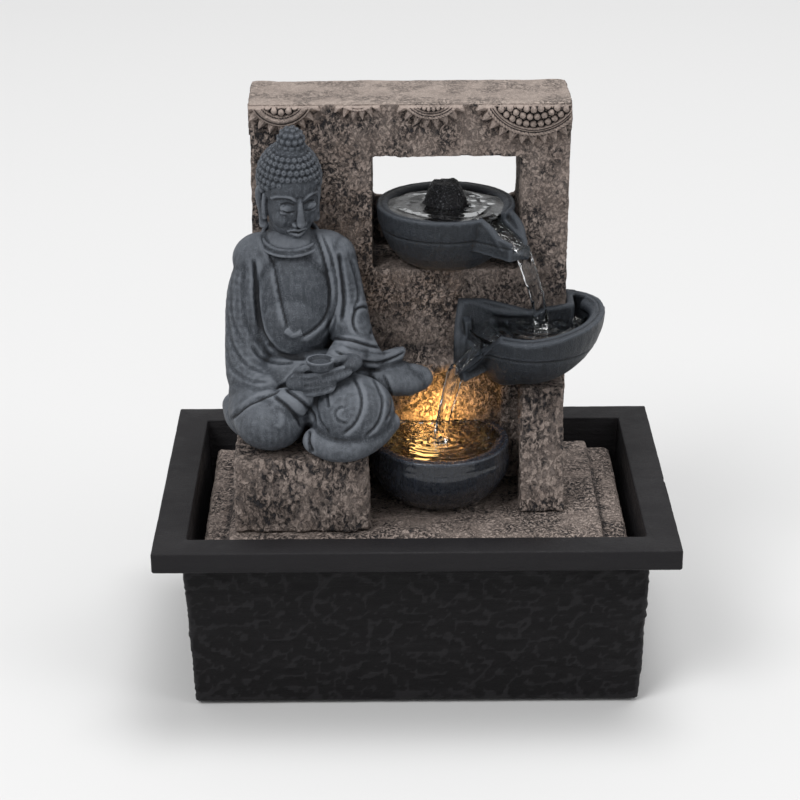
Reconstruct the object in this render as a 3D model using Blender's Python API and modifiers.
"""Tabletop water fountain: a black basin that holds a lift-out cast sculpture, with its pump, hose and lamp.

Metres, +Z up. The origin is the centre of the footprint on the surface that the fountain stands on,
+X is to the right and -Y is the front, where the seated figure and the three bowls face.
"""

import math

import bmesh
import bpy
from mathutils import Matrix, Vector

GAP = 0.0003  # between pieces that touch on the real object

# ---- Driving sizes: the sculpture, from left to right across its plateau ----
LEFT_MARGIN = 0.003
PEDESTAL_WIDTH = 0.054
LOWER_BOWL_WIDTH = 0.062
BUTTRESS_WIDTH = 0.018
RIGHT_MARGIN = 0.015
PLATEAU_DEPTH = 0.096
PLATEAU_SHIFT_Y = -0.002  # the sculpture stands a little to the front of the basin
PEDESTAL_FRONT_MARGIN = 0.005

# ---- Sculpture base: a hollow stepped casting, open underneath ----
STEP_WIDTH_X = 0.011
STEP_WIDTH_Y = 0.0045
STEP_HEIGHT = 0.005
STEP_ROUND = 0.002
BASE_TAPER = 0.006  # how far the sides draw in from the step to the foot
BASE_WALL = 0.004
NOTCH_WIDTH = 0.020
NOTCH_HEIGHT = 0.007

# ---- Basin: a thin moulded tub with a wide flange and a turned-down lip ----
BASIN_HEIGHT = 0.0765
BASIN_WALL = 0.0024
BASIN_TAPER = 0.003
FLANGE_WIDTH = 0.0134
LIP_HEIGHT = 0.0086
SIDE_CLEARANCE = 0.0046  # water gap between basin and sculpture, left and right
END_CLEARANCE = 0.0068  # the same, front and back
PLATEAU_DROP = 0.0045  # the sculpture's plateau lies this far below the flange
FOOT_RADIUS = 0.008
FOOT_HEIGHT = 0.0010
FOOT_INSET = 0.016

# ---- Back wall, with its window, and the lintel on it ----
WALL_HEIGHT = 0.153
WALL_THICKNESS = 0.036
WALL_LEFT_INSET = 0.007
WALL_RIGHT_OVERHANG = 0.002
WINDOW_HEIGHT = 0.0477
WINDOW_TOP_MARGIN = 0.0123
WINDOW_PILLAR = 0.0198
NICHE_HEIGHT = 0.0215  # the window's lower part, closed at the back
NICHE_BACK = 0.002
WALL_SHELL = 0.0045  # the wall is cast hollow up to below the window
HOLLOW_BELOW_WINDOW = 0.006
LINTEL_HEIGHT = 0.010
LINTEL_PROUD = 0.0006
ROSETTE_THICKNESS = 0.0015
# Each rosette hangs from the lintel's top edge as the lower part of a disc: its middle from the
# lintel's left end, its radius, and how far it hangs down.
ROSETTES = {
    "rosette_far_left": (0.0137, 0.0175, 0.0130),
    "rosette_mid_left": (0.0442, 0.0155, 0.0070),
    "rosette_mid_right": (0.0735, 0.0175, 0.0105),
    "rosette_far_right": (0.1145, 0.0260, 0.0175),
}

# ---- Pedestal, buttress and the three bowls ----
PEDESTAL_HEIGHT = 0.032
BUTTRESS_HEIGHT = 0.0470
BUTTRESS_REACH = 0.038
BUTTRESS_SLOPE = 0.020
BOWL_HEIGHT = 0.0270
BOWL_FOOT_RADIUS = 0.012
BOWL_WALL = 0.0030
BOWL_SIDES = 36
SPOUT_ROOT = 0.0220
SPOUT_TIP = 0.0100
SPOUT_DEEP = 0.0090
UPPER_BOWL_RADIUS = 0.0285
WINDOW_CLEARANCE = 0.0016
UPPER_BOWL_SETBACK = 0.0050  # its centre behind the wall's front face
UPPER_SPOUT_LENGTH = 0.0126  # beyond the rim
UPPER_SPOUT_TURN = math.radians(-46)
UPPER_SPOUT_DROP = 0.0125
MIDDLE_BOWL_RADIUS = 0.0290
MIDDLE_BOWL_RISE = 0.0002  # its foot above the top of the buttress
MIDDLE_BOWL_TILT = math.radians(2)
MIDDLE_BOWL_FORWARD = 0.0090  # its centre in front of the wall's front face
MIDDLE_BOWL_FROM_EDGE = 0.0138  # its centre, in from the wall's right edge
MIDDLE_SPOUT_LENGTH = 0.0040
MIDDLE_SPOUT_TURN = math.radians(-160)
MIDDLE_SPOUT_DROP = 0.0185
MIDDLE_LIP_RISE = 0.0055  # the lip along the wall, above the rim
MIDDLE_LIP_REACH = 0.0315  # how far left of the bowl's centre it goes
LOWER_BOWL_RADIUS = 0.0285
LOWER_BOWL_FORWARD = 0.0215
LOWER_BOWL_FROM_PEDESTAL = 0.0293

# ---- Figure: ellipsoids about a point on the pedestal's top, at the wall ----
FIGURE_FROM_PEDESTAL = 0.027  # its middle, in from the pedestal's left side
# (centre, radii) of each mass, in metres
FIGURE_MASSES = (
    ((0.0000, -0.0170, 0.0140), (0.0300, 0.0170, 0.0145)),  # hips
    ((-0.0125, -0.0400, 0.0145), (0.0160, 0.0170, 0.0145)),  # knee on the left
    ((0.0190, -0.0380, 0.0155), (0.0190, 0.0185, 0.0155)),  # robe fanned over the shins
    ((0.0360, -0.0220, 0.0210), (0.0165, 0.0125, 0.0085)),  # knee on the right
    ((0.0030, -0.0270, 0.0240), (0.0270, 0.0170, 0.0130)),  # lap
    ((-0.0030, -0.0150, 0.0500), (0.0200, 0.0150, 0.0290)),  # chest
    ((-0.0040, -0.0115, 0.0650), (0.0245, 0.0115, 0.0150)),  # shoulders
    ((-0.0205, -0.0170, 0.0380), (0.0110, 0.0140, 0.0340)),  # sleeve on the left
    ((0.0160, -0.0150, 0.0480), (0.0085, 0.0120, 0.0270)),  # sleeve on the right
    ((0.0220, -0.0190, 0.0420), (0.0070, 0.0090, 0.0090)),  # elbow
    ((0.0250, -0.0240, 0.0300), (0.0165, 0.0140, 0.0060)),  # end of the right sleeve
    ((0.0080, -0.0400, 0.0340), (0.0130, 0.0095, 0.0070)),  # hands and cup
    ((-0.0035, -0.0105, 0.1180), (0.0045, 0.0045, 0.0090)),  # topknot
    ((-0.0035, -0.0120, 0.1000), (0.0125, 0.0135, 0.0190)),  # head
)
NECK_RADIUS = 0.0085
NECK_SPAN = (0.070, 0.090)

# ---- Water path ----
HOSE_RADIUS = 0.0050
HOSE_WALL = 0.0012
HOSE_BORE_GAP = 0.0004
HOSE_SETBACK = 0.0075  # behind the wall's front face
HOSE_ABOVE_BOWL_FOOT = 0.0120
GROMMET_WALL = 0.0014
GROMMET_FLANGE = 0.0015
STONE_FOOT_RADIUS = 0.0105
STONE_TOP_RADIUS = 0.0070
STONE_HEIGHT = 0.0250
STONE_BORE_DEPTH = 0.0035

# ---- Pump: its shaft lies along X, and its outlet stands up under the hose ----
PUMP_WIDTH = 0.031
PUMP_HEIGHT = 0.026
MOTOR_LENGTH = 0.025
VOLUTE_LENGTH = 0.010
VOLUTE_RADIUS = 0.0095
VOLUTE_DEPTH = 0.0070
INTAKE_RADIUS = 0.0060
COVER_LENGTH = 0.0090
COVER_WALL = 0.0015
COVER_SLOTS = 4
SLOT_WIDTH = 0.0018
SPONGE_MARGIN = 0.0010
OUTLET_RADIUS = 0.0034
OUTLET_BORE = 0.0022
OUTLET_HEIGHT = 0.0105
HOSE_OVER_OUTLET = 0.0080
ROTOR_RADIUS = 0.0070
ROTOR_LENGTH = 0.0160
ROTOR_CLEARANCE = 0.0006
IMPELLER_RADIUS = 0.0080
IMPELLER_DISC = 0.0012
BLADE_HEIGHT = 0.0038
BLADE_THICKNESS = 0.0010
BLADES = 5
SHAFT_RADIUS = 0.0010
SHAFT_CLEARANCE = 0.0001
BUSH_RADIUS = 0.0025
BUSH_LENGTH = 0.0025
CUP_HEIGHT = 0.0060
CUP_RADIUS = 0.0055
CUP_NECK = 0.0022
CUP_INSET = 0.0065
GLAND_RADIUS = 0.0040
GLAND_LENGTH = 0.0080
DIAL_RADIUS = 0.0070
DIAL_THICKNESS = 0.0016
DIAL_TAB = 0.0040

# ---- Lamp in the lower bowl, with its lead and connector in the base ----
LAMP_FROM_BOWL_CENTRE = -0.0060
LAMP_FROM_WALL = -0.0095
LAMP_RADIUS = 0.0060
LAMP_BODY_LENGTH = 0.0200
LAMP_BELOW_RIM = 0.0085  # the top of its lens
LENS_HEIGHT = 0.0030
SEAL_WALL = 0.0012
SEAL_HEIGHT = 0.0040
LEAD_RADIUS = 0.0011
CONNECTOR_RADIUS = 0.0038
CONNECTOR_LENGTH = 0.0200
CONNECTOR_DROP = 0.0090  # below the ceiling of the base
CLIP_WALL = 0.0020
CLIP_LENGTH = 0.0070

# ---- Places worked out from the sizes above ----
PLATEAU_WIDTH = (
    LEFT_MARGIN + PEDESTAL_WIDTH + LOWER_BOWL_WIDTH + BUTTRESS_WIDTH + RIGHT_MARGIN
)
PLATEAU_LEFT = -PLATEAU_WIDTH / 2
PLATEAU_FRONT = PLATEAU_SHIFT_Y - PLATEAU_DEPTH / 2
PLATEAU_BACK = PLATEAU_SHIFT_Y + PLATEAU_DEPTH / 2
PLATEAU_TOP = BASIN_HEIGHT - PLATEAU_DROP
STEP_TOP = PLATEAU_TOP - STEP_HEIGHT
BASIN_INNER_X = PLATEAU_WIDTH / 2 + STEP_WIDTH_X + SIDE_CLEARANCE
BASIN_INNER_Y = PLATEAU_DEPTH / 2 + STEP_WIDTH_Y + END_CLEARANCE
BASIN_BOTTOM = FOOT_HEIGHT + GAP
FLOOR_TOP = BASIN_BOTTOM + BASIN_WALL
BASE_BOTTOM = FLOOR_TOP + GAP
BASE_CEILING = PLATEAU_TOP - BASE_WALL

PEDESTAL_LEFT = PLATEAU_LEFT + LEFT_MARGIN
PEDESTAL_RIGHT = PEDESTAL_LEFT + PEDESTAL_WIDTH
PEDESTAL_FRONT = PLATEAU_FRONT + PEDESTAL_FRONT_MARGIN
PEDESTAL_TOP = PLATEAU_TOP + GAP + PEDESTAL_HEIGHT
BUTTRESS_LEFT = PEDESTAL_RIGHT + LOWER_BOWL_WIDTH
BUTTRESS_RIGHT = BUTTRESS_LEFT + BUTTRESS_WIDTH
BUTTRESS_TOP = PLATEAU_TOP + GAP + BUTTRESS_HEIGHT

WALL_LEFT = PEDESTAL_LEFT + WALL_LEFT_INSET
WALL_RIGHT = BUTTRESS_RIGHT + WALL_RIGHT_OVERHANG
WALL_BACK = PLATEAU_BACK
WALL_FRONT = WALL_BACK - WALL_THICKNESS
WALL_BOTTOM = PLATEAU_TOP + GAP
WALL_TOP = WALL_BOTTOM + WALL_HEIGHT
LINTEL_BOTTOM = WALL_TOP + GAP
LINTEL_TOP = LINTEL_BOTTOM + LINTEL_HEIGHT
WINDOW_RIGHT = WALL_RIGHT - WINDOW_PILLAR
WINDOW_LEFT = WINDOW_RIGHT - 2 * (UPPER_BOWL_RADIUS + WINDOW_CLEARANCE)
WINDOW_TOP = WALL_TOP - WINDOW_TOP_MARGIN
WINDOW_BOTTOM = WINDOW_TOP - WINDOW_HEIGHT

UPPER_BOWL = Vector(
    (
        (WINDOW_LEFT + WINDOW_RIGHT) / 2,
        WALL_FRONT + UPPER_BOWL_SETBACK,
        WINDOW_BOTTOM + GAP,
    )
)
MIDDLE_BOWL = Vector(
    (
        WALL_RIGHT - MIDDLE_BOWL_FROM_EDGE,
        WALL_FRONT - MIDDLE_BOWL_FORWARD,
        BUTTRESS_TOP
        + MIDDLE_BOWL_RISE
        + BOWL_FOOT_RADIUS * math.tan(MIDDLE_BOWL_TILT)
        + GAP,
    )
)
LOWER_BOWL = Vector(
    (
        PEDESTAL_RIGHT + LOWER_BOWL_FROM_PEDESTAL,
        WALL_FRONT - LOWER_BOWL_FORWARD,
        PLATEAU_TOP + GAP,
    )
)

HOSE_X, HOSE_Y = UPPER_BOWL.x, WALL_FRONT + HOSE_SETBACK
HOSE_BORE = HOSE_RADIUS + HOSE_BORE_GAP
GROMMET_RADIUS = HOSE_RADIUS + GAP + GROMMET_WALL
HOSE_TOP = UPPER_BOWL.z + HOSE_ABOVE_BOWL_FOOT

PUMP_BOTTOM = FLOOR_TOP + GAP + CUP_HEIGHT + GAP
PUMP_AXIS_Z = PUMP_BOTTOM + PUMP_HEIGHT / 2
VOLUTE_X = HOSE_X - VOLUTE_DEPTH / 2  # the chamber's middle is under the hose
MOTOR_FRONT = VOLUTE_X - GAP
MOTOR_BACK = MOTOR_FRONT - MOTOR_LENGTH
VOLUTE_FRONT = VOLUTE_X + VOLUTE_LENGTH
COVER_BACK = VOLUTE_FRONT + GAP
COVER_FRONT = COVER_BACK + COVER_LENGTH
PUMP_TOP = PUMP_BOTTOM + PUMP_HEIGHT
HOSE_BOTTOM = PUMP_TOP + OUTLET_HEIGHT - HOSE_OVER_OUTLET
MAGNET_FRONT = VOLUTE_X + GAP
ROTOR_BACK = MAGNET_FRONT - ROTOR_LENGTH

LAMP = Vector(
    (
        LOWER_BOWL.x + LAMP_FROM_BOWL_CENTRE,
        WALL_FRONT + LAMP_FROM_WALL,
        LOWER_BOWL.z + BOWL_HEIGHT - LAMP_BELOW_RIM,
    )
)
LAMP_BOTTOM = LAMP.z - LENS_HEIGHT - GAP - LAMP_BODY_LENGTH
LAMP_HOLE = LAMP_RADIUS + GAP + SEAL_WALL + GAP


# ---- Materials ----


def paint(name, colour, roughness, metallic=0.0, alpha=1.0):
    material = bpy.data.materials.new(name)
    material.use_nodes = True
    shader = material.node_tree.nodes["Principled BSDF"]
    shader.inputs["Base Color"].default_value = (*colour, 1.0)
    shader.inputs["Roughness"].default_value = roughness
    shader.inputs["Metallic"].default_value = metallic
    shader.inputs["Alpha"].default_value = alpha
    return material


def make_materials():
    return {
        "black_slate": paint("black_slate", (0.012, 0.011, 0.011), 0.55),
        "brown_stone": paint("brown_stone", (0.16, 0.115, 0.095), 0.85),
        "grey_resin": paint("grey_resin", (0.045, 0.06, 0.085), 0.6),
        "lava_stone": paint("lava_stone", (0.01, 0.01, 0.012), 0.5),
        "black_plastic": paint("black_plastic", (0.015, 0.015, 0.016), 0.4),
        "clear_hose": paint("clear_hose", (0.75, 0.8, 0.8), 0.2, alpha=0.5),
        "rubber": paint("rubber", (0.02, 0.02, 0.02), 0.8),
        "foam": paint("foam", (0.03, 0.03, 0.032), 0.95),
        "magnet": paint("magnet", (0.08, 0.08, 0.085), 0.35, metallic=0.6),
        "steel": paint("steel", (0.6, 0.6, 0.62), 0.25, metallic=1.0),
        "lens": paint("lens", (1.0, 0.82, 0.45), 0.15),
    }


# ---- Modelling helpers ----


def new_collection(name):
    collection = bpy.data.collections.new(name)
    bpy.context.scene.collection.children.link(collection)
    return collection


class Workshop:
    """Keeps the two collections and the materials, and makes objects in them."""

    def __init__(self):
        self.parts = new_collection("tabletop_water_fountain")
        self.cutters = new_collection("cutters")
        self.materials = make_materials()

    def finish(self, name, bm, material, smooth=False, closed=True):
        """An object from bm: a part if it has a material, and a cutter if not."""
        if closed:
            bmesh.ops.recalc_face_normals(bm, faces=bm.faces)
        mesh = bpy.data.meshes.new(name)
        bm.to_mesh(mesh)
        bm.free()
        obj = bpy.data.objects.new(name, mesh)
        if smooth:
            mesh.shade_smooth()
            mesh.set_sharp_from_angle(angle=math.radians(35))
        if material is None:
            self.cutters.objects.link(obj)
            obj.hide_render = True
            obj.display_type = "WIRE"
        else:
            self.parts.objects.link(obj)
            mesh.materials.append(self.materials[material])
        return obj

    def block(self, name, low, high, material=None):
        bm = bmesh.new()
        bmesh.ops.create_cube(bm, size=1.0)
        size = Vector(high) - Vector(low)
        bmesh.ops.scale(bm, vec=size, verts=bm.verts)
        bmesh.ops.translate(bm, vec=(Vector(low) + Vector(high)) / 2, verts=bm.verts)
        return self.finish(name, bm, material)

    def rod(self, name, start, end, radius, material=None, end_radius=None, sides=24):
        """A round bar or cone from start to end."""
        start, end = Vector(start), Vector(end)
        along = end - start
        bm = bmesh.new()
        bmesh.ops.create_cone(
            bm,
            cap_ends=True,
            segments=sides,
            radius1=radius,
            radius2=radius if end_radius is None else end_radius,
            depth=along.length,
        )
        turn = Vector((0, 0, 1)).rotation_difference(along).to_matrix().to_4x4()
        place = Matrix.Translation((start + end) / 2) @ turn
        bmesh.ops.transform(bm, matrix=place, verts=bm.verts)
        return self.finish(name, bm, material, smooth=True)

    def egg(self, name, centre, radii, material=None, sides=16, rings=10):
        bm = bmesh.new()
        bmesh.ops.create_uvsphere(bm, u_segments=sides, v_segments=rings, radius=1.0)
        bmesh.ops.scale(bm, vec=radii, verts=bm.verts)
        bmesh.ops.translate(bm, vec=centre, verts=bm.verts)
        return self.finish(name, bm, material, smooth=True)

    def turned(self, name, profile, place, material=None, sides=BOWL_SIDES, ring=False):
        """A turned shape. The profile of (radius, height) runs down its outer side first."""
        mesh = bpy.data.meshes.new(name)
        points = [(radius, 0.0, height) for radius, height in profile]
        edges = [(i, i + 1) for i in range(len(points) - 1)]
        if ring:
            edges.append((len(points) - 1, 0))
        mesh.from_pydata(points, edges, [])
        obj = bpy.data.objects.new(name, mesh)
        obj.matrix_world = place if isinstance(place, Matrix) else Matrix.Translation(place)
        screw = obj.modifiers.new("turn", "SCREW")
        screw.steps = screw.render_steps = sides
        screw.use_merge_vertices = True
        screw.merge_threshold = 1e-5
        screw.use_smooth_shade = True
        if material is None:
            self.cutters.objects.link(obj)
            obj.hide_render = True
            obj.display_type = "WIRE"
        else:
            self.parts.objects.link(obj)
            mesh.materials.append(self.materials[material])
        return obj

    def slab(self, name, outline, y0, y1, material=None):
        """An (x, z) outline, given counter-clockwise as seen from the front, from y0 to y1."""
        bm = bmesh.new()
        near = [bm.verts.new((x, y0, z)) for x, z in outline]
        far = [bm.verts.new((x, y1, z)) for x, z in outline]
        bm.faces.new(near)
        bm.faces.new(list(reversed(far)))
        for i in range(len(outline)):
            j = (i + 1) % len(outline)
            bm.faces.new((near[j], near[i], far[i], far[j]))
        return self.finish(name, bm, material)

    def loft(self, name, loops, material=None, cap_low=True, cap_high=True):
        """Faces between rectangles, each (low x, high x, low y, high y, z), from the bottom up."""
        bm = bmesh.new()
        rings = []
        for x0, x1, y0, y1, z in loops:
            corners = ((x0, y0), (x1, y0), (x1, y1), (x0, y1))
            rings.append([bm.verts.new((x, y, z)) for x, y in corners])
        for lower, upper in zip(rings, rings[1:]):
            for i in range(4):
                j = (i + 1) % 4
                bm.faces.new((lower[i], lower[j], upper[j], upper[i]))
        if cap_low:
            bm.faces.new(list(reversed(rings[0])))
        if cap_high:
            bm.faces.new(rings[-1])
        return self.finish(name, bm, material, closed=cap_low and cap_high)


def combine(obj, others, operation):
    for other in others:
        modifier = obj.modifiers.new(other.name, "BOOLEAN")
        modifier.operation = operation
        modifier.solver = "EXACT"
        modifier.object = other


def cut(obj, *cutters):
    combine(obj, cutters, "DIFFERENCE")


def join(obj, *others):
    combine(obj, others, "UNION")


def keep(obj, *others):
    combine(obj, others, "INTERSECT")


# ---- Basin ----


def make_basin(shop):
    """Floor, sides, flange and turned-down lip as one open sheet, thickened inwards."""
    top_x = BASIN_INNER_X + BASIN_WALL
    top_y = BASIN_INNER_Y + BASIN_WALL
    foot_x, foot_y = top_x - BASIN_TAPER, top_y - BASIN_TAPER
    under_flange = BASIN_HEIGHT - BASIN_WALL
    lip_x = BASIN_INNER_X + FLANGE_WIDTH - BASIN_WALL
    lip_y = BASIN_INNER_Y + FLANGE_WIDTH - BASIN_WALL
    loops = (
        (-foot_x, foot_x, -foot_y, foot_y, BASIN_BOTTOM),
        (-top_x, top_x, -top_y, top_y, under_flange),
        (-lip_x, lip_x, -lip_y, lip_y, under_flange),
        (-lip_x, lip_x, -lip_y, lip_y, BASIN_HEIGHT - LIP_HEIGHT),
    )
    basin = shop.loft("basin", loops, "black_slate", cap_high=False)
    shell = basin.modifiers.new("shell", "SOLIDIFY")
    shell.thickness = BASIN_WALL
    shell.offset = -1.0
    shell.use_even_offset = True
    shell.use_quality_normals = True
    for i, (side, end) in enumerate(((-1, -1), (1, -1), (-1, 1), (1, 1)), start=1):
        x = side * (foot_x - FOOT_INSET)
        y = end * (foot_y - FOOT_INSET)
        shop.rod(f"basin_foot_{i}", (x, y, 0), (x, y, FOOT_HEIGHT), FOOT_RADIUS, "foam")


# ---- Sculpture ----


def make_base_shell(shop):
    x1 = PLATEAU_WIDTH / 2
    y0, y1 = PLATEAU_FRONT, PLATEAU_BACK
    step_x = x1 + STEP_WIDTH_X
    loops = (
        (
            BASE_TAPER - step_x,
            step_x - BASE_TAPER,
            y0 - STEP_WIDTH_Y + BASE_TAPER,
            y1 + STEP_WIDTH_Y - BASE_TAPER,
            BASE_BOTTOM,
        ),
        (-step_x, step_x, y0 - STEP_WIDTH_Y, y1 + STEP_WIDTH_Y, STEP_TOP - STEP_ROUND),
        (
            STEP_ROUND - step_x,
            step_x - STEP_ROUND,
            y0 - STEP_WIDTH_Y + STEP_ROUND,
            y1 + STEP_WIDTH_Y - STEP_ROUND,
            STEP_TOP,
        ),
        (-x1, x1, y0, y1, STEP_TOP),
        (-x1, x1, y0, y1, PLATEAU_TOP),
    )
    shell = shop.loft("base_shell", loops, "brown_stone")
    hollow = shop.loft(
        "base_hollow",
        [
            (
                BASE_WALL + BASE_TAPER - step_x,
                step_x - BASE_TAPER - BASE_WALL,
                y0 - STEP_WIDTH_Y + BASE_TAPER + BASE_WALL,
                y1 + STEP_WIDTH_Y - BASE_TAPER - BASE_WALL,
                BASE_BOTTOM - BASE_WALL,
            ),
            (
                BASE_WALL - x1,
                x1 - BASE_WALL,
                y0 + BASE_WALL,
                y1 - BASE_WALL,
                BASE_CEILING,
            ),
        ],
    )
    cut(shell, hollow)
    half = NOTCH_WIDTH / 2
    notch_top = BASE_BOTTOM + NOTCH_HEIGHT
    below = BASE_BOTTOM - BASE_WALL
    far_x, far_y = step_x + BASE_WALL, y1 + STEP_WIDTH_Y + BASE_WALL
    side_notch = shop.block("notch_sides", (-far_x, -half, below), (far_x, half, notch_top))
    end_notch = shop.block("notch_ends", (-half, -far_y, below), (half, far_y, notch_top))
    hose_hole = shop.rod(
        "hose_hole_base",
        (HOSE_X, HOSE_Y, BASE_CEILING - BASE_WALL),
        (HOSE_X, HOSE_Y, PLATEAU_TOP + BASE_WALL),
        HOSE_BORE,
    )
    lamp_hole = shop.rod(
        "lamp_hole_base",
        (LAMP.x, LAMP.y, BASE_CEILING - BASE_WALL),
        (LAMP.x, LAMP.y, PLATEAU_TOP + BASE_WALL),
        LAMP_HOLE,
    )
    cut(shell, side_notch, end_notch, hose_hole, lamp_hole)


def make_wall(shop):
    wall = shop.block(
        "back_wall",
        (WALL_LEFT, WALL_FRONT, WALL_BOTTOM),
        (WALL_RIGHT, WALL_BACK, WALL_TOP),
        "brown_stone",
    )
    past = WALL_THICKNESS / 4
    window = shop.block(
        "window",
        (WINDOW_LEFT, WALL_FRONT - past, WINDOW_BOTTOM + NICHE_HEIGHT - GAP),
        (WINDOW_RIGHT, WALL_BACK + past, WINDOW_TOP),
    )
    niche = shop.block(
        "niche",
        (WINDOW_LEFT, WALL_FRONT - past, WINDOW_BOTTOM),
        (WINDOW_RIGHT, WALL_BACK - NICHE_BACK, WINDOW_BOTTOM + NICHE_HEIGHT),
    )
    bore = shop.rod(
        "hose_bore_wall",
        (HOSE_X, HOSE_Y, WALL_BOTTOM - past),
        (HOSE_X, HOSE_Y, WINDOW_BOTTOM + past),
        HOSE_BORE,
    )
    hollow = shop.block(
        "wall_hollow",
        (WALL_LEFT + WALL_SHELL, WALL_FRONT + WALL_SHELL, WALL_BOTTOM - past),
        (
            WALL_RIGHT - WALL_SHELL,
            WALL_BACK - WALL_SHELL,
            WINDOW_BOTTOM - HOLLOW_BELOW_WINDOW,
        ),
    )
    cut(wall, window, niche, hollow, bore)


def make_lintel(shop):
    left, right = WALL_LEFT - LINTEL_PROUD, WALL_RIGHT + LINTEL_PROUD
    shop.block(
        "lintel",
        (left, WALL_FRONT, LINTEL_BOTTOM),
        (right, WALL_BACK, LINTEL_TOP),
        "brown_stone",
    )
    back = WALL_FRONT - GAP
    front = back - ROSETTE_THICKNESS
    borders = rosette_borders(left, right)
    for (name, (from_left, radius, hang)), (x0, x1) in zip(ROSETTES.items(), borders):
        x, z = left + from_left, LINTEL_TOP - hang + radius
        rosette = shop.rod(name, (x, front, z), (x, back, z), radius, "brown_stone", sides=48)
        band = shop.block(
            f"{name}_band",
            (x0, front - ROSETTE_THICKNESS, LINTEL_TOP - 2 * radius),
            (x1, back + ROSETTE_THICKNESS, LINTEL_TOP),
        )
        keep(rosette, band)


def rosette_borders(left, right):
    """The lintel's length shared out between the rosettes, halfway between neighbours' rims."""
    spans = []
    for from_left, radius, hang in ROSETTES.values():
        half = math.sqrt(radius**2 - (radius - hang) ** 2)
        spans.append((left + from_left - half, left + from_left + half))
    middles = [(a[1] + b[0]) / 2 for a, b in zip(spans, spans[1:])]
    starts = [left] + [middle + GAP / 2 for middle in middles]
    ends = [middle - GAP / 2 for middle in middles] + [right]
    return list(zip(starts, ends))


def make_pedestal_and_buttress(shop):
    shop.block(
        "figure_pedestal",
        (PEDESTAL_LEFT, PEDESTAL_FRONT, PLATEAU_TOP + GAP),
        (PEDESTAL_RIGHT - GAP, WALL_FRONT - GAP, PEDESTAL_TOP),
        "brown_stone",
    )
    front = WALL_FRONT - BUTTRESS_REACH
    back = WALL_FRONT - GAP
    left = BUTTRESS_LEFT + GAP
    shop.loft(
        "buttress",
        [
            (left, BUTTRESS_RIGHT, front, back, PLATEAU_TOP + GAP),
            (left, BUTTRESS_RIGHT, front + BUTTRESS_SLOPE, back, BUTTRESS_TOP),
        ],
        "brown_stone",
    )


def bowl_side(radius, height, foot, steps):
    """(radius, height) down a bowl's outer side, a quarter of an ellipse above a flat foot."""
    points = []
    for i in range(steps + 1):
        angle = math.pi / 2 * i / steps
        points.append((foot + (radius - foot) * math.cos(angle), height * (1 - math.sin(angle))))
    return points


def bowl_solid(shop, name, radius, place, material=None):
    """The bowl's outer form, filled."""
    side = bowl_side(radius, BOWL_HEIGHT, BOWL_FOOT_RADIUS, 6)
    return shop.turned(name, [(0.0, BOWL_HEIGHT), *side, (0.0, 0.0)], place, material)


def bowl_hollow(shop, name, radius, place):
    """The space inside a bowl, standing proud of its rim so that it cuts cleanly."""
    inner = radius - BOWL_WALL
    side = bowl_side(inner, BOWL_HEIGHT - BOWL_WALL, BOWL_FOOT_RADIUS - BOWL_WALL, 6)
    lifted = [(r, z + BOWL_WALL) for r, z in side]
    top = BOWL_HEIGHT + BOWL_WALL
    profile = [(0.0, top), (inner, top), *lifted, (0.0, BOWL_WALL)]
    return shop.turned(name, profile, place)


def spout_block(shop, name, place, turn, root, tip, shrink=0.0):
    """A trough that narrows from root to tip. Each end is (distance, width, low, high)."""
    bm = bmesh.new()
    ends = []
    for distance, width, low, high in (root, tip):
        half = width / 2 - shrink
        corners = ((-half, low), (half, low), (half, high), (-half, high))
        ends.append([bm.verts.new((distance, y, z)) for y, z in corners])
    for i in range(4):
        j = (i + 1) % 4
        bm.faces.new((ends[0][i], ends[0][j], ends[1][j], ends[1][i]))
    bm.faces.new(list(reversed(ends[0])))
    bm.faces.new(ends[1])
    turned = Matrix.Translation(place) @ Matrix.Rotation(turn, 4, "Z")
    bmesh.ops.transform(bm, matrix=turned, verts=bm.verts)
    return shop.finish(name, bm, None)


def add_spout(shop, bowl, place, radius, turn, length, drop):
    """Joins a solid spout to the bowl and returns the channel to cut through both."""
    tip_top = BOWL_HEIGHT - drop + SPOUT_DEEP / 2
    tip_low = tip_top - SPOUT_DEEP
    tip_at = radius + length
    root_at = radius - 2 * BOWL_WALL
    outer = spout_block(
        shop,
        f"{bowl.name}_spout",
        place,
        turn,
        (root_at - BOWL_WALL, SPOUT_ROOT, BOWL_HEIGHT - 1.6 * SPOUT_DEEP, BOWL_HEIGHT),
        (tip_at, SPOUT_TIP, tip_low, tip_top),
    )
    channel = spout_block(
        shop,
        f"{bowl.name}_channel",
        place,
        turn,
        (
            radius / 2,
            SPOUT_ROOT,
            BOWL_HEIGHT - SPOUT_DEEP,
            BOWL_HEIGHT + 2 * SPOUT_DEEP,
        ),
        (tip_at + BOWL_WALL, SPOUT_TIP, tip_low + BOWL_WALL, tip_top + 2 * SPOUT_DEEP),
        shrink=BOWL_WALL * 0.8,
    )
    join(bowl, outer)
    return channel


def make_upper_bowl(shop):
    bowl = bowl_solid(shop, "upper_bowl", UPPER_BOWL_RADIUS, UPPER_BOWL, "grey_resin")
    channel = add_spout(
        shop,
        bowl,
        UPPER_BOWL,
        UPPER_BOWL_RADIUS,
        UPPER_SPOUT_TURN,
        UPPER_SPOUT_LENGTH,
        UPPER_SPOUT_DROP,
    )
    hollow = bowl_hollow(shop, "upper_bowl_hollow", UPPER_BOWL_RADIUS, UPPER_BOWL)
    hose_hole = shop.rod(
        "hose_hole_bowl",
        (HOSE_X, HOSE_Y, UPPER_BOWL.z - BOWL_WALL),
        (HOSE_X, HOSE_Y, UPPER_BOWL.z + 2 * BOWL_WALL),
        GROMMET_RADIUS + GAP,
    )
    cut(bowl, hollow, channel, hose_hole)


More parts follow.
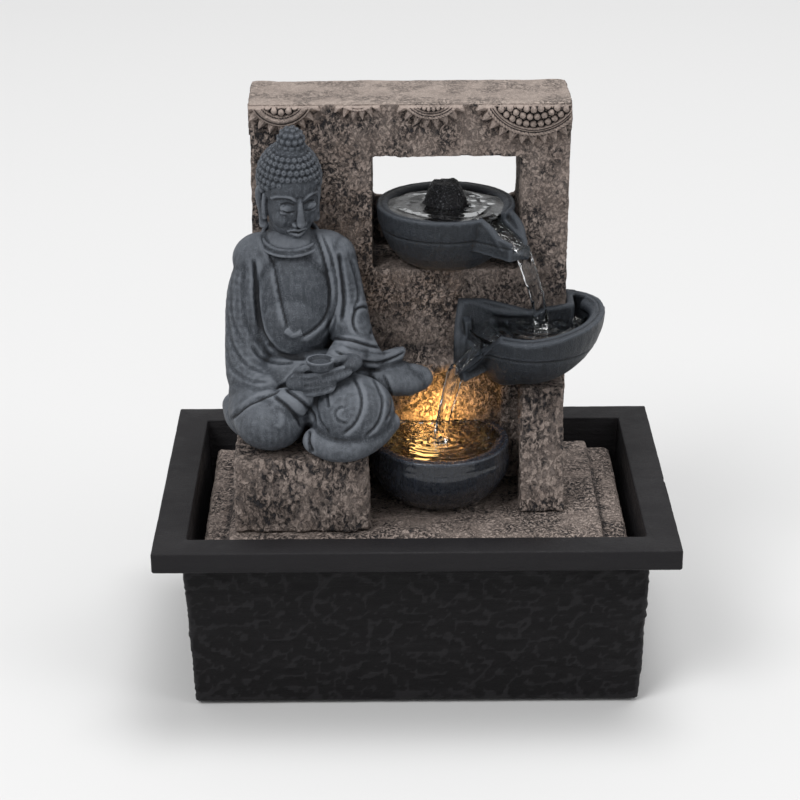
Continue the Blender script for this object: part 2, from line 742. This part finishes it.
def make_middle_bowl(shop):
    """Leans forward, and wraps the wall's right edge: the wall itself is cut out of it."""
    lean = Matrix.Translation(MIDDLE_BOWL) @ Matrix.Rotation(MIDDLE_BOWL_TILT, 4, "X")
    bowl = bowl_solid(shop, "middle_bowl", MIDDLE_BOWL_RADIUS, lean, "grey_resin")
    channel = add_spout(
        shop,
        bowl,
        MIDDLE_BOWL,
        MIDDLE_BOWL_RADIUS,
        MIDDLE_SPOUT_TURN,
        MIDDLE_SPOUT_LENGTH,
        MIDDLE_SPOUT_DROP,
    )
    hollow = bowl_hollow(shop, "middle_bowl_hollow", MIDDLE_BOWL_RADIUS, lean)
    far = 3 * MIDDLE_BOWL_RADIUS
    front = WALL_FRONT - GAP
    wall_room = shop.block(
        "middle_bowl_wall_room",
        (MIDDLE_BOWL.x - far, front, WALL_BOTTOM),
        (WALL_RIGHT + GAP, MIDDLE_BOWL.y + far, WALL_TOP),
    )
    back_lining = shop.block(
        "middle_bowl_lining",
        (MIDDLE_BOWL.x - far, front - BOWL_WALL, WALL_BOTTOM),
        (WALL_RIGHT + GAP + BOWL_WALL, MIDDLE_BOWL.y + far, WALL_TOP),
    )
    cut(hollow, back_lining)
    cut(bowl, hollow, channel)
    rim = MIDDLE_BOWL.z + BOWL_HEIGHT
    left = MIDDLE_BOWL.x - MIDDLE_LIP_REACH
    outline = (
        (left + MIDDLE_LIP_RISE, rim - MIDDLE_SPOUT_DROP),
        (MIDDLE_BOWL.x, rim - MIDDLE_SPOUT_DROP),
        (MIDDLE_BOWL.x, rim),
        (left + 2 * MIDDLE_LIP_RISE, rim + MIDDLE_LIP_RISE),
        (left, rim + MIDDLE_LIP_RISE),
    )
    lip = shop.slab("middle_bowl_lip", outline, front - BOWL_WALL, front + BOWL_WALL)
    join(bowl, lip)
    cut(bowl, wall_room)


def make_lower_bowl(shop):
    """A round bowl, cut straight at the wall and kept clear of the pedestal and buttress."""
    bowl = bowl_solid(shop, "lower_bowl", LOWER_BOWL_RADIUS, LOWER_BOWL, "grey_resin")
    hollow = bowl_hollow(shop, "lower_bowl_hollow", LOWER_BOWL_RADIUS, LOWER_BOWL)
    x0, x1 = PEDESTAL_RIGHT + GAP, BUTTRESS_LEFT - GAP
    y0, y1 = WALL_FRONT - 3 * LOWER_BOWL_RADIUS, WALL_FRONT - GAP
    z0, z1 = PLATEAU_TOP, LOWER_BOWL.z + 2 * BOWL_HEIGHT
    lining = shop.block(
        "lower_bowl_lining",
        (x0 + BOWL_WALL, y0, z0),
        (x1 - BOWL_WALL, y1 - BOWL_WALL, z1),
    )
    keep(hollow, lining)
    keep(bowl, shop.block("lower_bowl_room", (x0, y0, z0), (x1, y1, z1)))
    lamp_hole = shop.rod(
        "lamp_hole_bowl",
        (LAMP.x, LAMP.y, PLATEAU_TOP - BOWL_WALL),
        (LAMP.x, LAMP.y, LAMP.z),
        LAMP_RADIUS + GAP,
    )
    cut(bowl, hollow, lamp_hole)


def make_figure(shop):
    foot = Vector((PEDESTAL_LEFT + FIGURE_FROM_PEDESTAL, WALL_FRONT, PEDESTAL_TOP))
    body = None
    for i, (centre, radii) in enumerate(FIGURE_MASSES):
        first = body is None
        name = "seated_figure" if first else f"figure_mass_{i}"
        mass = shop.egg(name, foot + Vector(centre), radii, "grey_resin" if first else None)
        if first:
            body = mass
        else:
            join(body, mass)
    low, high = NECK_SPAN
    head = Vector(FIGURE_MASSES[-1][0])
    neck = shop.rod(
        "figure_neck",
        foot + Vector((head.x, head.y, low)),
        foot + Vector((head.x, head.y, high)),
        NECK_RADIUS,
    )
    join(body, neck)
    reach = 4 * PEDESTAL_WIDTH
    behind = shop.block(
        "figure_behind",
        (foot.x - reach, WALL_FRONT - GAP, 0),
        (foot.x + reach, WALL_FRONT + reach, LINTEL_TOP + reach),
    )
    beneath = shop.block(
        "figure_beneath",
        (foot.x - reach, WALL_FRONT - reach, 0),
        (foot.x + reach, WALL_FRONT + reach, PEDESTAL_TOP + GAP),
    )
    cut(body, behind, beneath)


# ---- Water path ----


def make_water_path(shop):
    inner = HOSE_RADIUS - HOSE_WALL
    tube = [
        (HOSE_RADIUS, HOSE_TOP),
        (HOSE_RADIUS, HOSE_BOTTOM),
        (inner, HOSE_BOTTOM),
        (inner, HOSE_TOP),
    ]
    at_hose = Vector((HOSE_X, HOSE_Y, 0))
    shop.turned("delivery_hose", tube, at_hose, "clear_hose", sides=20, ring=True)

    bore = HOSE_RADIUS + GAP
    floor = UPPER_BOWL.z + BOWL_WALL
    flange = GROMMET_RADIUS + GROMMET_FLANGE
    grommet = [
        (flange, floor + GAP + GROMMET_FLANGE / 2),
        (flange, floor + GAP),
        (GROMMET_RADIUS, floor + GAP),
        (GROMMET_RADIUS, UPPER_BOWL.z + GAP),
        (bore, UPPER_BOWL.z + GAP),
        (bore, floor + GAP + GROMMET_FLANGE / 2),
    ]
    shop.turned("hose_grommet", grommet, at_hose, "rubber", sides=20, ring=True)

    foot = HOSE_TOP + GAP - STONE_BORE_DEPTH
    socket = HOSE_RADIUS + GAP
    stone = [
        (0.0, foot + STONE_HEIGHT),
        (STONE_TOP_RADIUS, foot + STONE_HEIGHT),
        (STONE_FOOT_RADIUS, foot),
        (socket, foot),
        (socket, foot + STONE_BORE_DEPTH),
        (0.0, foot + STONE_BORE_DEPTH),
    ]
    shop.turned("bubble_stone", stone, at_hose, "lava_stone", sides=16)


# ---- Pump ----


def along_x(start, end):
    """Two points on the pump's shaft."""
    return (start, HOSE_Y, PUMP_AXIS_Z), (end, HOSE_Y, PUMP_AXIS_Z)


def pump_block(shop, name, start, end, material=None, wall=0.0):
    half = PUMP_WIDTH / 2 - wall
    low = (start, HOSE_Y - half, PUMP_BOTTOM + wall)
    return shop.block(name, low, (end, HOSE_Y + half, PUMP_TOP - wall), material)


def make_pump_body(shop):
    housing = pump_block(shop, "pump_housing", MOTOR_BACK, MOTOR_FRONT, "black_plastic")
    well_radius = ROTOR_RADIUS + ROTOR_CLEARANCE
    well = shop.rod(
        "rotor_well",
        *along_x(ROTOR_BACK - ROTOR_CLEARANCE, MOTOR_FRONT + BUSH_LENGTH),
        well_radius,
    )
    bush_back = ROTOR_BACK - ROTOR_CLEARANCE - BUSH_LENGTH
    bush_seat = shop.rod(
        "rear_bush_seat",
        *along_x(bush_back - GAP, ROTOR_BACK),
        BUSH_RADIUS + GAP,
    )
    cut(housing, well, bush_seat)
    shop.rod(
        "cable_gland",
        *along_x(MOTOR_BACK - GAP, MOTOR_BACK - GAP - GLAND_LENGTH),
        GLAND_RADIUS,
        "rubber",
        end_radius=GLAND_RADIUS / 2,
        sides=16,
    )
    cup_z = FLOOR_TOP + GAP
    xs = (MOTOR_BACK + CUP_INSET, VOLUTE_FRONT - CUP_INSET)
    ys = (
        HOSE_Y - PUMP_WIDTH / 2 + CUP_INSET,
        HOSE_Y + PUMP_WIDTH / 2 - CUP_INSET,
    )
    spots = [(x, y) for x in xs for y in ys]
    for i, (x, y) in enumerate(spots, start=1):
        profile = [
            (0.0, CUP_HEIGHT),
            (CUP_NECK, CUP_HEIGHT),
            (CUP_NECK, CUP_HEIGHT / 2),
            (CUP_RADIUS, 0.0),
            (CUP_RADIUS * 0.8, 0.0),
            (0.0, CUP_HEIGHT / 4),
        ]
        shop.turned(f"suction_cup_{i}", profile, (x, y, cup_z), "rubber", sides=16)
    return bush_back


def bush(shop, name, start):
    ring = [
        (BUSH_RADIUS, BUSH_LENGTH),
        (BUSH_RADIUS, 0.0),
        (SHAFT_RADIUS + SHAFT_CLEARANCE, 0.0),
        (SHAFT_RADIUS + SHAFT_CLEARANCE, BUSH_LENGTH),
    ]
    place = Matrix.Translation((start, HOSE_Y, PUMP_AXIS_Z)) @ Matrix.Rotation(
        math.pi / 2, 4, "Y"
    )
    shop.turned(name, ring, place, "rubber", sides=16, ring=True)


def make_pump_volute(shop, bush_back):
    """The cover that closes the rotor well, with the impeller chamber and the outlet."""
    volute = pump_block(shop, "volute_cover", VOLUTE_X, VOLUTE_FRONT, "black_plastic")
    outlet = shop.rod(
        "outlet_pipe",
        (HOSE_X, HOSE_Y, PUMP_TOP - COVER_WALL),
        (HOSE_X, HOSE_Y, PUMP_TOP + OUTLET_HEIGHT),
        OUTLET_RADIUS,
    )
    outlet_bore = shop.rod(
        "outlet_bore",
        (HOSE_X, HOSE_Y, PUMP_AXIS_Z),
        (HOSE_X, HOSE_Y, PUMP_TOP + 2 * OUTLET_HEIGHT),
        OUTLET_BORE,
    )
    chamber = shop.rod(
        "volute_chamber",
        *along_x(VOLUTE_X - COVER_WALL, VOLUTE_X + VOLUTE_DEPTH),
        VOLUTE_RADIUS,
    )
    intake = shop.rod(
        "intake", *along_x(VOLUTE_X, VOLUTE_FRONT + COVER_WALL), INTAKE_RADIUS
    )
    join(volute, outlet)
    cut(volute, chamber, intake, outlet_bore)
    bridge = shop.block(
        "bush_bridge",
        (
            VOLUTE_FRONT - BUSH_LENGTH - 2 * GAP,
            HOSE_Y - BUSH_RADIUS / 2,
            PUMP_AXIS_Z - INTAKE_RADIUS - COVER_WALL,
        ),
        (VOLUTE_FRONT, HOSE_Y + BUSH_RADIUS / 2, PUMP_AXIS_Z + INTAKE_RADIUS + COVER_WALL),
    )
    hub = shop.rod(
        "bush_hub",
        *along_x(VOLUTE_FRONT - BUSH_LENGTH - 2 * GAP, VOLUTE_FRONT),
        BUSH_RADIUS + 4 * GAP,
    )
    front_seat = VOLUTE_FRONT - BUSH_LENGTH - GAP
    seat = shop.rod(
        "front_bush_seat", *along_x(VOLUTE_X, VOLUTE_FRONT + COVER_WALL), BUSH_RADIUS + GAP
    )
    join(volute, bridge, hub)
    cut(volute, seat)
    bush(shop, "rear_bush", bush_back)
    bush(shop, "front_bush", front_seat)
    shop.rod(
        "shaft",
        *along_x(bush_back + GAP, VOLUTE_FRONT - GAP),
        SHAFT_RADIUS,
        "steel",
        sides=16,
    )


def make_rotor(shop):
    """Magnet and impeller, which turn together on the fixed shaft."""
    magnet = shop.rod(
        "rotor_magnet", *along_x(ROTOR_BACK, MAGNET_FRONT), ROTOR_RADIUS, "magnet"
    )
    hole = SHAFT_RADIUS + SHAFT_CLEARANCE
    magnet_hole = shop.rod(
        "magnet_hole",
        *along_x(ROTOR_BACK - ROTOR_CLEARANCE, MAGNET_FRONT + ROTOR_CLEARANCE),
        hole,
        sides=16,
    )
    cut(magnet, magnet_hole)
    disc_back = MAGNET_FRONT + GAP
    disc_front = disc_back + IMPELLER_DISC
    blade_front = disc_front + BLADE_HEIGHT
    impeller = shop.rod(
        "impeller", *along_x(disc_back, disc_front), IMPELLER_RADIUS, "black_plastic"
    )
    hub = shop.rod("impeller_hub", *along_x(disc_back, blade_front), 2.2 * hole, sides=16)
    join(impeller, hub)
    for i in range(BLADES):
        blade = shop.block(
            f"blade_{i}",
            (disc_back + GAP, 1.5 * hole, -BLADE_THICKNESS / 2),
            (blade_front, IMPELLER_RADIUS - GAP, BLADE_THICKNESS / 2),
        )
        turn = Matrix.Rotation(math.tau * i / BLADES, 4, "X")
        blade.matrix_world = Matrix.Translation((0, HOSE_Y, PUMP_AXIS_Z)) @ turn
        join(impeller, blade)
    impeller_hole = shop.rod(
        "impeller_hole",
        *along_x(disc_back - GAP, blade_front + GAP),
        hole,
        sides=16,
    )
    cut(impeller, impeller_hole)


def make_pump_cover(shop):
    """The slotted front cover with its sponge, which pull off along the shaft for cleaning."""
    cover = pump_block(shop, "pump_cover", COVER_BACK, COVER_FRONT, "black_plastic")
    inside = pump_block(
        shop, "cover_inside", COVER_BACK - COVER_WALL, COVER_FRONT - COVER_WALL, wall=COVER_WALL
    )
    cut(cover, inside)
    low = PUMP_BOTTOM + 2 * COVER_WALL
    slot_height = (PUMP_HEIGHT - 2 * DIAL_RADIUS) / 2 - 3 * COVER_WALL
    pitch = (PUMP_WIDTH - 4 * COVER_WALL) / COVER_SLOTS
    for i in range(COVER_SLOTS):
        y = HOSE_Y + (i - (COVER_SLOTS - 1) / 2) * pitch
        for j, bottom in enumerate((low, PUMP_TOP - 2 * COVER_WALL - slot_height)):
            slot = shop.block(
                f"cover_slot_{i}_{j}",
                (COVER_FRONT - 2 * COVER_WALL, y - SLOT_WIDTH / 2, bottom),
                (COVER_FRONT + COVER_WALL, y + SLOT_WIDTH / 2, bottom + slot_height),
            )
            cut(cover, slot)
    port = shop.rod(
        "dial_port",
        *along_x(COVER_FRONT - 2 * COVER_WALL, COVER_FRONT + COVER_WALL),
        DIAL_RADIUS / 2,
    )
    cut(cover, port)
    pump_block(
        shop,
        "intake_sponge",
        COVER_BACK + SPONGE_MARGIN,
        COVER_FRONT - COVER_WALL - SPONGE_MARGIN,
        "foam",
        wall=COVER_WALL + SPONGE_MARGIN,
    )
    dial_back = COVER_FRONT + GAP
    dial_front = dial_back + DIAL_THICKNESS
    dial = shop.rod("flow_dial", *along_x(dial_back, dial_front), DIAL_RADIUS, "black_plastic")
    tab = shop.block(
        "dial_tab",
        (dial_back, HOSE_Y - DIAL_THICKNESS / 2, PUMP_AXIS_Z),
        (dial_front, HOSE_Y + DIAL_THICKNESS / 2, PUMP_AXIS_Z + DIAL_RADIUS + DIAL_TAB),
    )
    window = shop.block(
        "dial_window",
        (dial_back - GAP, HOSE_Y, PUMP_AXIS_Z - DIAL_RADIUS * 0.7),
        (dial_front + GAP, HOSE_Y + DIAL_RADIUS * 0.6, PUMP_AXIS_Z),
    )
    join(dial, tab)
    cut(dial, window)


# ---- Lamp ----


def make_lamp(shop):
    top = LAMP.z - LENS_HEIGHT - GAP
    shop.rod(
        "lamp_housing",
        (LAMP.x, LAMP.y, LAMP_BOTTOM),
        (LAMP.x, LAMP.y, top),
        LAMP_RADIUS,
        "black_plastic",
    )
    lens = [
        (0.0, LENS_HEIGHT),
        (LAMP_RADIUS * 0.5, LENS_HEIGHT * 0.9),
        (LAMP_RADIUS * 0.9, LENS_HEIGHT * 0.5),
        (LAMP_RADIUS, 0.0),
        (0.0, 0.0),
    ]
    shop.turned("lamp_lens", lens, (LAMP.x, LAMP.y, top + GAP), "lens", sides=20)
    inner = LAMP_RADIUS + GAP
    ring = [
        (inner + SEAL_WALL, SEAL_HEIGHT),
        (inner + SEAL_WALL, 0.0),
        (inner, 0.0),
        (inner, SEAL_HEIGHT),
    ]
    seat = (LAMP.x, LAMP.y, BASE_CEILING)
    shop.turned("lamp_seal", ring, seat, "rubber", sides=20, ring=True)
    plug_z = BASE_CEILING - CONNECTOR_DROP
    plug_right = LAMP.x - 0.034
    plug_y = LAMP.y + 0.012
    plug_left = plug_right - CONNECTOR_LENGTH
    shop.rod(
        "lamp_connector",
        (plug_right, plug_y, plug_z),
        (plug_left, plug_y, plug_z),
        CONNECTOR_RADIUS,
        "black_plastic",
        sides=16,
    )
    clip_right = plug_right - CONNECTOR_LENGTH / 2 + CLIP_LENGTH / 2
    reach = CONNECTOR_RADIUS + GAP + CLIP_WALL
    clip = shop.block(
        "connector_clip",
        (clip_right - CLIP_LENGTH, plug_y - reach, plug_z - CONNECTOR_RADIUS * 0.7),
        (clip_right, plug_y + reach, BASE_CEILING - GAP),
        "black_plastic",
    )
    saddle = shop.rod(
        "clip_saddle",
        (plug_right, plug_y, plug_z),
        (plug_left, plug_y, plug_z),
        CONNECTOR_RADIUS + GAP,
        sides=16,
    )
    mouth = shop.block(
        "clip_mouth",
        (clip_right - 2 * CLIP_LENGTH, plug_y - CONNECTOR_RADIUS * 0.8, plug_z - reach),
        (clip_right + CLIP_LENGTH, plug_y + CONNECTOR_RADIUS * 0.8, plug_z),
    )
    cut(clip, saddle, mouth)
    make_lead(shop, Vector((plug_right, plug_y, plug_z)))


def make_lead(shop, plug):
    """The lamp's short lead, from under its housing across to the connector."""
    start = Vector((LAMP.x, LAMP.y, LAMP_BOTTOM - GAP))
    end = plug + Vector((GAP, 0, 0))
    drop = Vector((0, 0, -1))
    reach = (end - start).length * 0.9
    points = 16
    curve = bpy.data.curves.new("lamp_lead", "CURVE")
    curve.dimensions = "3D"
    curve.bevel_depth = LEAD_RADIUS
    curve.bevel_resolution = 2
    curve.use_fill_caps = True
    spline = curve.splines.new("POLY")
    spline.points.add(points - 1)
    for i in range(points):
        t = i / (points - 1)
        s = 1 - t
        # a cubic from straight down out of the lamp to straight into the connector
        place = (
            s**3 * start
            + 3 * s * s * t * (start + drop * reach)
            + 3 * s * t * t * (end + Vector((reach * 0.8, 0, 0)))
            + t**3 * end
        )
        spline.points[i].co = (*place, 1.0)
    curve.materials.append(shop.materials["rubber"])
    shop.parts.objects.link(bpy.data.objects.new("lamp_lead", curve))


def main():
    for obj in list(bpy.data.objects):
        bpy.data.objects.remove(obj)
    shop = Workshop()
    make_basin(shop)
    make_base_shell(shop)
    make_wall(shop)
    make_lintel(shop)
    make_pedestal_and_buttress(shop)
    make_upper_bowl(shop)
    make_middle_bowl(shop)
    make_lower_bowl(shop)
    make_figure(shop)
    make_water_path(shop)
    bush_back = make_pump_body(shop)
    make_pump_volute(shop, bush_back)
    make_rotor(shop)
    make_pump_cover(shop)
    make_lamp(shop)


main()
